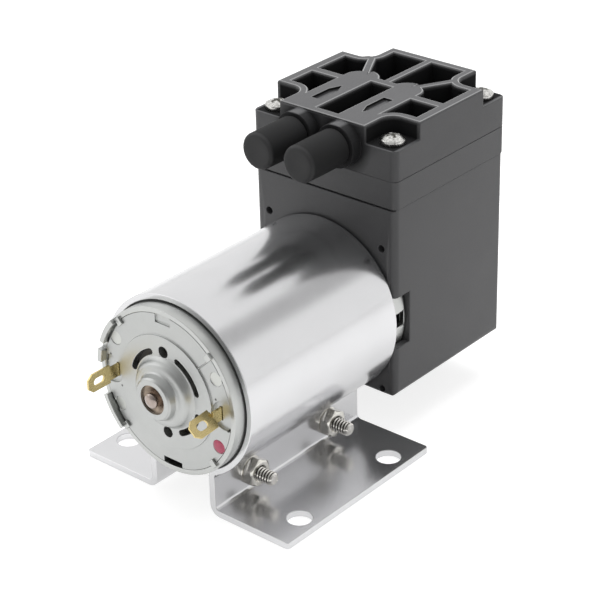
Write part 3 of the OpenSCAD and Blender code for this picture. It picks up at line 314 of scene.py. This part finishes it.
def bellCornerSpots(x, y, z):
    # Small dark spots at the corners of the terminals' pockets
    pits = [(-15.0, 3.35), (-12.4, -3.0), (13.1, 3.05), (15.9, -3.0)]
    spots = [ramp(distance(x, z - layout["axisZ"], u, v), 0.3, 0.18) for u, v in pits]
    return spots[0] + spots[1] + spots[2] + spots[3]


def threadGrooveShade(x, y, z):
    # Painted shade at the bottom of the bolts' threads, from the nuts up to the chamfer of the tips
    depth = ramp(distance(y.magnitude(), z, layout["boltY"], layout["boltZ"]), 1.4, 1.24)
    return depth * ramp(x, 14.95, 14.85) * ramp(x, 9, 9.2)


# The cover's plastic, with painted shade in its hollows and painted highlights on its top edges
coverPlastic = moulded("ribbedCoverPlastic", (0.073, 0.073, 0.076), shadeMask=coverPaintedShade, shadeShare=0.82,
                       edges=coverEdgeHighlights, **nylon)
# The bolts' steel, with painted shade in the thread grooves
threadedSteel = metal("threadedSteel", (0.9, 0.88, 0.83), rough=0.22, contrast=0.2, patch=1.2, height=0.003,
                      spots=[(threadGrooveShade, (0.06, 0.055, 0.05))])
bellPlate = metal("bellPlate", (0.55, 0.56, 0.55), rough=0.42,
                  spots=[(bellMarks, (0.63, 0.64, 0.61)), (bellCornerSpots, (0.1, 0.1, 0.1))], **plate)
slotOf = {entry["node"]: entry["material_slot"] for entry in frame["record"]["subparts"]}
for node, part in cad.items():
    part.data.materials.clear()
    part.data.materials.append(finishes[slotOf[node]])


# Mesh helpers

def gridFaces(rows, columns, closeRows=False, closeColumns=False):
    # Quads between neighbours of a grid of points, wrapped round in either direction where asked
    r = np.arange(rows if closeRows else rows - 1)[:, None]
    c = np.arange(columns if closeColumns else columns - 1)[None, :]
    r2, c2 = (r + 1) % rows, (c + 1) % columns
    corners = [r * columns + c, r * columns + c2, r2 * columns + c2, r2 * columns + c]
    return np.stack([np.broadcast_to(k, (r.shape[0], c.shape[1])) for k in corners], -1).reshape(-1, 4)


def pieceFrom(name, grids, node, finish=None, sharp=35):
    # Joins grids of points, each (points, closeRows, closeColumns), into one closed piece in millimetres
    verts, faces, start = [], [], 0
    for points, closeRows, closeColumns in grids:
        rows, columns = points.shape[:2]
        verts.append(points.reshape(-1, 3))
        faces.append(gridFaces(rows, columns, closeRows, closeColumns) + start)
        start += rows * columns
    mesh = bpy.data.meshes.new(name)
    mesh.from_pydata((np.concatenate(verts) * mm).tolist(), [], np.concatenate(faces).tolist())
    work = bmesh.new()
    work.from_mesh(mesh)
    bmesh.ops.remove_doubles(work, verts=work.verts, dist=1e-7)
    bmesh.ops.dissolve_degenerate(work, edges=work.edges, dist=1e-8)
    bmesh.ops.recalc_face_normals(work, faces=work.faces)
    work.to_mesh(mesh)
    work.free()
    return dress(bpy.data.objects.new(name, mesh), node, finish, sharp)


def carried(points, centre, axis):
    # Turns points whose own z is the piece's axis into place; u, v and w are where x, y and z point then
    u, v, w = {"x": ((0, 1, 0), (0, 0, 1), (1, 0, 0)), "y": ((0, 0, 1), (1, 0, 0), (0, 1, 0)),
               "-y": ((1, 0, 0), (0, 0, 1), (0, -1, 0)), "z": ((1, 0, 0), (0, 1, 0), (0, 0, 1))}[axis]
    return points @ np.array([u, v, w], float) + np.array(centre, float)


def swept(height, radius, angle):
    # A surface round z: radius and height may vary with both the row and the angle
    height, radius = np.broadcast_arrays(height + 0 * angle, radius + 0 * angle)
    return np.stack([radius * np.cos(angle), radius * np.sin(angle), height], -1)


def roundAngles(columns):
    # Angles evenly round the circle, as one row
    return np.linspace(0, 2 * math.pi, columns, endpoint=False)[None, :]


def lathe(profile, columns=96):
    # A profile of (height, radius) pairs turned round z
    height, radius = np.array(profile, float).T[:, :, None]
    return swept(height, radius, roundAngles(columns))


def bend(centreHeight, centreRadius, size, start, end, steps=8):
    # Points of an arc in a lathe's profile: height follows the sine of the angle, radius the cosine
    turn = np.radians(np.linspace(start, end, steps))
    return [(centreHeight + size * math.sin(t), centreRadius + size * math.cos(t)) for t in turn]


def hexRadius(angle, flat):
    # Distance from a hexagon's middle to its side; flat is half the width over flats
    return flat / np.cos((angle + math.pi / 6) % (math.pi / 3) - math.pi / 6)


def dress(piece, node, finish, sharp):
    # Links a piece, gives it its finish and its body, and stands it for its CAD node
    bpy.context.scene.collection.objects.link(piece)
    piece.data.materials.clear()
    piece.data.materials.append(finish or finishes[slotOf[node]])
    piece.data.shade_smooth()
    piece.data.set_sharp_from_angle(angle=math.radians(sharp))
    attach(piece, cad[node]["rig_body"])
    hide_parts(node)
    return piece


def softened(node, name, width, keep=None, segments=2, sharp=30, finish=None):
    # A merged copy of a CAD node with its sharp edges rounded by width millimetres; keep() turns an edge's
    # middle into the share of that width it gets
    mesh = cad[node].data.copy()
    mesh.name = name
    work = bmesh.new()
    work.from_mesh(mesh)
    bmesh.ops.remove_doubles(work, verts=work.verts, dist=2e-6)
    bmesh.ops.dissolve_degenerate(work, edges=work.edges, dist=2e-6)
    level = [e for e in work.edges if len(e.link_faces) == 2 and e.calc_face_angle(0) < math.radians(0.2)]
    bmesh.ops.beautify_fill(work, faces=work.faces, edges=level)
    weight = work.edges.layers.float.new("bevel_weight_edge")
    limit = math.radians(sharp)
    for edge in work.edges:
        if len(edge.link_faces) == 2 and edge.calc_face_angle(0) > limit:
            middle = (edge.verts[0].co + edge.verts[1].co) / 2 / mm
            edge[weight] = 1.0 if keep is None else float(keep(*middle))
    work.to_mesh(mesh)
    work.free()
    if mesh.has_custom_normals:
        mesh.attributes.remove(mesh.attributes["custom_normal"])
    piece = dress(bpy.data.objects.new(name, mesh), node, finish, sharp)
    edge = piece.modifiers.new("edge", "BEVEL")
    edge.width = width * mm
    edge.segments = segments
    edge.limit_method = "WEIGHT"
    edge.use_clamp_overlap = False
    edge.loop_slide = False
    edge.harden_normals = True
    return piece


print("bracket, can, bell and head")
# Where keep is given, only the edges at the outer walls are rounded
softened("clamp_bracket", "clampBracket", 0.15)
softened("motor_can", "motorCan", 0.12)
softened("end_bell", "endBell", 0.1, finish=bellPlate)
softened("terminals", "solderTags", 0.06)
softened("crankcase", "crankcaseBody", 0.2, keep=lambda x, y, z: y < 23.3 or z < 10 or abs(x) > 18.4)
softened("valve_block", "valveBlock", 0.16, keep=lambda x, y, z: abs(x) > 17 or y < 24 or y > 59)


def coverRounding(x, y, z):
    # Full at the top plane, less at its arrows, over the ports and at other edges, none on the underside
    if z > layout["coverTop"] - 0.05:
        nearArrow = abs(abs(x) - arrows["x"]) < 1.4 and abs(y - arrows["y"]) < 5
        return 0.3 if nearArrow else 0.6 if y < 23.1 else 1.0
    return 0.4 if z > 61.8 and y > 22.9 or y > 60.3 or abs(x) > 18 or y < 20.8 else 0.0


softened("head_cover", "ribbedCover", 0.5, finish=coverPlastic, keep=coverRounding, segments=4)
softened("rear_cover", "rearCover", 0.12)


print("bolts, nuts and washers")
clampBolt = {"thread": 1.5, "pitch": 0.7, "threadDepth": 0.36, "rowsPerPitch": 8, "tipX": 15.35,
             "tipChamfer": 0.4, "headX": -10.75, "headHeight": 2.0, "halfFlats": 2.75, "nutHeight": 2.4,
             "coneStart": 2.55, "coneSlope": 1.7, "coneRise": 0.45, "nutHole": 1.56, "nutMouth": 1.85,
             "washerRadius": 3.0, "washerHole": 1.6, "washerThickness": 0.5, "columns": 72}


def threadedRod(bolt, start, end):
    # The radius dips by a triangle wave, cut flat at both ends, that climbs one pitch a turn, and it shrinks
    # at the tip's chamfer
    rows = int((end - start) / bolt["pitch"] * bolt["rowsPerPitch"]) + 1
    height = np.linspace(start, end, rows)[:, None]
    angle = roundAngles(48)
    phase = (height / bolt["pitch"] - angle / (2 * math.pi)) % 1
    wave = np.clip(np.abs(2 * phase - 1) * 1.3 - 0.15, 0, 1)
    radius = bolt["thread"] - bolt["threadDepth"] * wave
    radius = np.minimum(radius, bolt["thread"] - bolt["tipChamfer"] + (end - height))
    body = swept(height, radius, angle)
    first = swept(height[:1], 0.0, angle)
    last = swept(height[-1:] + 0.05, 0.0, angle)
    return np.concatenate([first, body, last])


def hexHead(bolt, start, height):
    # Sides of a hexagon that a cone of 30 degrees cuts at the outer face, which has a shallow dish; the other
    # face stays flat
    angle = roundAngles(bolt["columns"])
    rise = np.concatenate([np.linspace(0, bolt["coneRise"], 10), [height - 0.05, height]])[:, None]
    flat = bolt["halfFlats"] - 0.04 * (rise > height - 0.02)
    radius = np.minimum(hexRadius(angle, flat), bolt["coneStart"] + rise * bolt["coneSlope"])
    side = swept(start + rise, radius, angle)
    dish = [swept(np.full((1, 1), start + h), r, angle) for h, r in ((0.12, 0.0), (0.12, 1.9), (0.02, 2.35))]
    last = swept(np.full((1, 1), start + height), 0.0, angle)
    return np.concatenate([*dish, side, last])


def hexNut(bolt, start):
    # A hexagon chamfered at both faces, with a countersunk hole through it
    angle = roundAngles(bolt["columns"])
    height, hole, mouth = bolt["nutHeight"], bolt["nutHole"], bolt["nutMouth"]
    rise = np.linspace(0, bolt["coneRise"], 10)
    rise = np.concatenate([rise, height - rise[::-1]])[:, None]
    cone = bolt["coneStart"] + np.minimum(rise, height - rise) * bolt["coneSlope"]
    outer = swept(start + rise, np.minimum(hexRadius(angle, bolt["halfFlats"]), cone), angle)
    bore = [(height, mouth), (height - 0.3, hole), (0.3, hole), (0, mouth)]
    inner = [swept(np.full((1, 1), start + h), r, angle) for h, r in bore]
    return np.concatenate([outer, *inner])


def flatWasher(bolt, start):
    # A ring stamped from sheet: one rim rolled over, the other sharp
    radius, hole, end = bolt["washerRadius"], bolt["washerHole"], start + bolt["washerThickness"]
    profile = [(start, hole), (start, radius - 0.02), (start + 0.03, radius)]
    profile += bend(end - 0.2, radius - 0.2, 0.2, 0, 90, 5)
    return lathe(profile + [(end, hole + 0.06), (end - 0.05, hole)], bolt["columns"])


def atBothBolts(points, closeRows):
    # The same grid at the front and the rear bolt
    return [(carried(points, (0, side * layout["boltY"], layout["boltZ"]), "x"), closeRows, True)
            for side in (-1, 1)]


rod = threadedRod(clampBolt, -layout["legOuter"], clampBolt["tipX"])
boltHead = hexHead(clampBolt, clampBolt["headX"], clampBolt["headHeight"])
nut = hexNut(clampBolt, layout["legOuter"] + clampBolt["washerThickness"])
washer = flatWasher(clampBolt, layout["legOuter"])
pieceFrom("clampBolts", atBothBolts(rod, False) + atBothBolts(boltHead, False), "clamp_bolts",
          finish=threadedSteel, sharp=40)
pieceFrom("clampNuts", atBothBolts(nut, True), "clamp_nuts")
pieceFrom("clampWashers", atBothBolts(washer, True), "clamp_washers", sharp=40)


print("cross-recessed screws")
coverScrew = {"head": 2.6, "height": 1.9, "shank": 1.3, "length": 20.0, "armLength": 1.45, "armWidth": 0.34,
              "depth": 1.1, "turns": (0.3, 1.1, 0.62, 0.9)}
rearScrew = {"head": 1.8, "height": 1.2, "shank": 1.0, "length": 7.0, "armLength": 1.0, "armWidth": 0.24,
             "depth": 0.7, "turns": (0.2, 0.8, 1.2, 0.5), "x": 12.4, "z": (15.2, 44.6), "y": 60.35}


def panScrew(screw, turn):
    # A domed head over a plain shank; its top sinks by a soft-edged cross, turned by its own angle, whose
    # arms narrow outwards and whose floor deepens towards the middle
    reach, rise = screw["head"], screw["height"]
    angle = roundAngles(144)
    radius = [np.linspace(0, reach * 0.62, 34), np.linspace(reach * 0.65, reach * 0.9, 8)]
    radius = np.concatenate(radius)[:, None]
    ball = 1.6 * reach
    dome = rise - ball + np.sqrt(ball ** 2 - radius ** 2)
    u, v = np.abs(radius * np.cos(angle + turn)), np.abs(radius * np.sin(angle + turn))
    long, across = np.maximum(u, v), np.minimum(u, v)
    half = screw["armWidth"] * (1.15 - 0.35 * long / screw["armLength"])
    cut = np.clip((half - across) / 0.12 + 0.5, 0, 1) * np.clip((screw["armLength"] - long) / 0.3, 0, 1)
    middle = np.clip(1.25 - long / screw["armLength"], 0, 1)
    top = swept(dome - screw["depth"] * cut * (0.35 + 0.65 * middle), radius, angle)
    edge = dome[-1, 0]
    rim = bend(edge - reach * 0.1 - 0.02, reach * 0.9, reach * 0.1, 75, 0, 6)
    shank, tip = screw["shank"], -screw["length"]
    under = [(0.08, reach), (0.0, reach - 0.08), (0.0, shank)]
    point = [(0.3 + tip, shank), (tip, shank * 0.7), (tip, 0.0)]
    return np.concatenate([top, lathe(rim + under + point, 144)])


def screwsAt(name, node, screw, places, axis):
    # One piece of like screws, each turned by its own angle
    grids = [(carried(panScrew(screw, turn), place, axis), False, True)
             for place, turn in zip(places, screw["turns"])]
    pieceFrom(name, grids, node, sharp=50)


coverPlaces = [(sx * layout["screwX"], layout["headMiddleY"] + sy * layout["screwY"], layout["screwSeatZ"])
               for sx in (-1, 1) for sy in (-1, 1)]
rearPlaces = [(sx * rearScrew["x"], rearScrew["y"], z) for sx in (-1, 1) for z in rearScrew["z"]]
screwsAt("coverScrews", "cover_screws", coverScrew, coverPlaces, "z")
screwsAt("rearCoverScrews", "rear_cover_screws", rearScrew, rearPlaces, "y")


print("dust caps and shaft")
dustCap = {"radius": 4.0, "mouthY": 20.4, "length": 11.4, "bore": 3.15, "boreDepth": 10.4, "edge": 0.8,
           "swell": 0.06, "swellAt": 5.2, "swellWidth": 3.4}
motorShaft = {"radius": 1.5875, "backY": -30.5, "frontY": 44.65, "dome": 0.55, "chamfer": 0.3}


def capProfile(cap):
    # Bore, rolled mouth, a wall that swells a little where the barbs stretch it, a round edge and an end
    # with a slight dish
    radius, length, edge, bore, depth = (cap[k] for k in ("radius", "length", "edge", "bore", "boreDepth"))
    slim = radius - cap["swell"]
    profile = [(depth, 0.0), (depth, bore), (0.3, bore), (0.05, bore + 0.2), (0.0, radius - 0.45)]
    profile += bend(0.35, radius - 0.4, 0.35, -90, 0, 6)
    profile += [(h, slim + cap["swell"] * math.exp(-((h - cap["swellAt"]) / cap["swellWidth"]) ** 2))
                for h in np.linspace(0.4, length - edge, 16)]
    profile += bend(length - edge, slim - edge, edge, 0, 90, 10)
    return profile + [(length - 0.02, 2.2), (length - 0.1, 1.2), (length - 0.12, 0.0)]


def shaftProfile(shaft):
    # A plain bar, chamfered in front, with a domed end and a tiny centre mark at the back
    radius, dome, chamfer = shaft["radius"], shaft["dome"], shaft["chamfer"]
    length = shaft["frontY"] - shaft["backY"]
    ball = (radius ** 2 + dome ** 2) / (2 * dome)
    profile = [(length, 0.0), (length, radius - chamfer), (length - chamfer, radius), (dome + 0.12, radius)]
    profile += [(ball - math.sqrt(ball ** 2 - s ** 2), s) for s in np.linspace(radius - 0.05, 0.3, 14)]
    return profile + [(0.08, 0.12), (0.1, 0.0)]


for side, node, name in ((-1, "inlet_cap", "inletDustCap"), (1, "outlet_cap", "outletDustCap")):
    place = (side * layout["portX"], dustCap["mouthY"], layout["portZ"])
    pieceFrom(name, [(carried(lathe(capProfile(dustCap)), place, "-y"), False, True)], node, sharp=60)
shaft = carried(lathe(shaftProfile(motorShaft), 72), (0, motorShaft["backY"], layout["axisZ"]), "y")
pieceFrom("motorShaft", [(shaft, False, True)], "motor_shaft", sharp=40)


print("paint dot")
paintDot = {"baseY": -25.2, "radius": 1.5, "stretch": 1.14, "height": 0.42}


def paintBlob(dot):
    # A dab of paint, wider than high: its rim wanders by two sines of the angle and its face swells with a
    # low ripple
    angle = roundAngles(72)
    share = np.linspace(0, 1, 16)[:, None]
    reach = dot["radius"] * (0.93 + 0.04 * np.sin(3 * angle + 0.6) + 0.03 * np.sin(5 * angle + 2))
    swell = np.sqrt(1 - 0.97 * share ** 2) * (0.93 + 0.07 * np.sin(6 * share + 2 * angle) * share)
    top = swept(dot["height"] * swell, reach * share, angle)
    base = [swept(np.zeros((1, 1)), radius, angle) for radius in (reach, 0.0)]
    return np.concatenate([top, *base]) * (dot["stretch"], 1, 1)


place = (layout["markX"], paintDot["baseY"], layout["axisZ"] - layout["markUp"])
dab = carried(paintBlob(paintDot), place, "-y")
pieceFrom("polarityPaint", [(dab, False, True)], "polarity_dot", sharp=70)


print("camera and light")
# Solved from the photograph: angles in degrees, the lens for a 36 mm film, the place in metres
view = {"azimuth": 41.04, "elevation": 27.95, "roll": -1.58, "lens": 120.43,
        "from": (0.24108, -0.26211, 0.22510)}


def photoCamera(view):
    # Camera axes from azimuth, elevation and roll: forward, then right and up turned by the roll
    a, e, r = (math.radians(view[k]) for k in ("azimuth", "elevation", "roll"))
    forward = Vector((-math.sin(a) * math.cos(e), math.cos(a) * math.cos(e), -math.sin(e)))
    right = Vector((math.cos(a), math.sin(a), 0))
    up = right.cross(forward)
    x = math.cos(r) * right + math.sin(r) * up
    y = -math.sin(r) * right + math.cos(r) * up
    camera = bpy.data.objects.new("camera", bpy.data.cameras.new("camera"))
    camera.data.lens = view["lens"]
    camera.data.sensor_width = 36
    camera.data.clip_start = 0.01
    camera.matrix_world = Matrix((x, y, -forward)).transposed().to_4x4()
    camera.location = view["from"]
    bpy.context.scene.collection.objects.link(camera)
    bpy.context.scene.camera = camera


def areaLight(name, place, towards, size, power, mirrored=True):
    # A soft box; one that isn't mirrored lights the plastics but leaves no bright patch on polished metal
    lamp = bpy.data.objects.new(name, bpy.data.lights.new(name, "AREA"))
    lamp.data.shape = "RECTANGLE"
    lamp.data.size, lamp.data.size_y = size
    lamp.data.energy = power
    lamp.visible_glossy = mirrored
    lamp.location = place
    lamp.rotation_euler = (Vector(towards) - Vector(place)).to_track_quat("-Z", "Y").to_euler()
    bpy.context.scene.collection.objects.link(lamp)


photoCamera(view)
middle = (0, 0.015, 0.03)
areaLight("overheadBox", (-0.1, 0.15, 0.6), middle, (0.5, 0.5), 3.6, mirrored=False)
areaLight("leftBox", (-0.5, -0.3, 0.35), middle, (0.4, 0.5), 0.4)
areaLight("rightBox", (0.6, 0.1, 0.3), middle, (0.4, 0.4), 0.3, mirrored=False)

# Strengths of the surroundings, as light and as seen; the floor's lift, for the camera and for mirrors, and
# its own shade; two dark directions
studio = {"ambient": 0.42, "shown": 1.0, "floorLift": 0.78, "floorMirrored": 0.62, "floorShade": 0.48,
          "darkSide": (0.63, -0.72, 0.29), "darkness": 0.75,
          "flag": (0.42, 0.655, 0.628), "flagDarkness": 0.48}


def whiteWorld(studio):
    # Soft ambient light and plain white for the camera; mirrors see that white too, less two dark masks that
    # grow with the ray's leaning: a broad one for the camera's own side of the room and a narrow one, a dark
    # flag, high up behind the pump
    paint = Paint("studio", bpy.data.worlds)
    camera, glossy, through = paint.rays()
    ray, dot = paint.node("TexCoord"), {"operation": "DOT_PRODUCT"}
    side, flag = (paint.node("VectorMath", dot, {0: ray, 1: studio[name]}, out="Value")
                  for name in ("darkSide", "flag"))
    mask = ramp(side, 0.1, 0.9) * studio["darkness"] + ramp(flag, 0.97, 0.995) * studio["flagDarkness"]
    seen = (camera + glossy + through).clamped()
    strength = studio["ambient"] + seen * (studio["shown"] - studio["ambient"]) - glossy * mask
    bpy.context.scene.world = paint.finish(
        paint.node("Background", None, {"Color": (1, 1, 1, 1), "Strength": strength}))


def paleFloor(studio):
    # A pale floor that keeps the shadow and is lifted to white for the camera and for mirrors
    paint = Paint("paleFloor")
    camera, glossy, through = paint.rays()
    shade = studio["floorShade"]
    matt = paint.node("BsdfDiffuse", None, {"Color": (shade, shade, shade, 1)})
    strength = camera * studio["floorLift"] + (glossy + through).clamped() * studio["floorMirrored"]
    lift = paint.node("Emission", None, {"Color": (1, 1, 1, 1), "Strength": strength})
    half, level = 3.0, -0.00005
    corners = [(x * half, y * half, level) for x, y in ((-1, -1), (1, -1), (1, 1), (-1, 1))]
    mesh = bpy.data.meshes.new("floor")
    mesh.from_pydata(corners, [], [(0, 1, 2, 3)])
    floor = bpy.data.objects.new("floor", mesh)
    mesh.materials.append(paint.finish(paint.node("AddShader", None, {0: matt, 1: lift})))
    bpy.context.scene.collection.objects.link(floor)


whiteWorld(studio)
paleFloor(studio)
bpy.context.scene.view_settings.view_transform = "Standard"

print("done")
